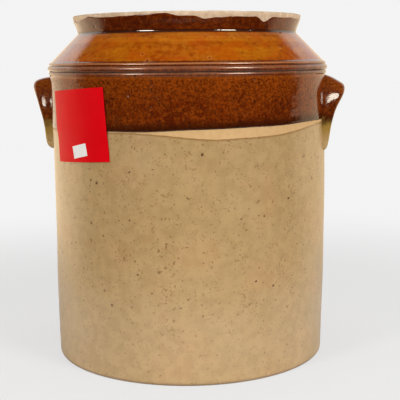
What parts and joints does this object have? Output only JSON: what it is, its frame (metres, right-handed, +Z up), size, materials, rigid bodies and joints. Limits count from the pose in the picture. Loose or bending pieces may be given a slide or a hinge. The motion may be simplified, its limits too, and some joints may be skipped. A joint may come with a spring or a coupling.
{
  "type": "stoneware fermenting crock",
  "caption": "Straight-sided stoneware crock with a coned shoulder, flared open collar, ear handles, a brown glazed top over buff clay, a bare paper label and half-moon weight stones inside.",
  "frame": {"origin": "centre of the foot, on the surface that the crock stands on", "axes": "+Z up along the axis of the crock, the handles stand on the X axis, -Y is the front"},
  "size_m": [0.308, 0.273, 0.33],
  "materials": {
    "buff_stoneware": "buff clay under a thin clear glaze, satin, with iron specks",
    "bare_stoneware": "bare fired clay, matt",
    "brown_glaze": "glossy mottled brown iron glaze",
    "liner_glaze": "glossy honey-brown liner glaze",
    "red_paper": "plain red paper",
    "white_paper": "plain white sticker paper",
    "weight_stoneware": "pale stoneware, smooth matt"
  },
  "bodies": {
    "crock": {"crock_body": "buff_stoneware", "shoulder_collar": "bare_stoneware", "left_handle": "brown_glaze", "right_handle": "brown_glaze", "brown_glaze": "brown_glaze", "liner_glaze": "liner_glaze", "red_label": "red_paper", "price_sticker": "white_paper"},
    "left_stone": {"left_weight_stone": "weight_stoneware"},
    "right_stone": {"right_weight_stone": "weight_stoneware"}
  },
  "joints": [
    {"name": "left_stone_lift", "type": "slide", "parent": "crock", "child": "left_stone", "axis": [0, 0, 1], "range_m": [0, 0.34]},
    {"name": "right_stone_lift", "type": "slide", "parent": "crock", "child": "right_stone", "axis": [0, 0, 1], "range_m": [0, 0.34]}
  ]
}
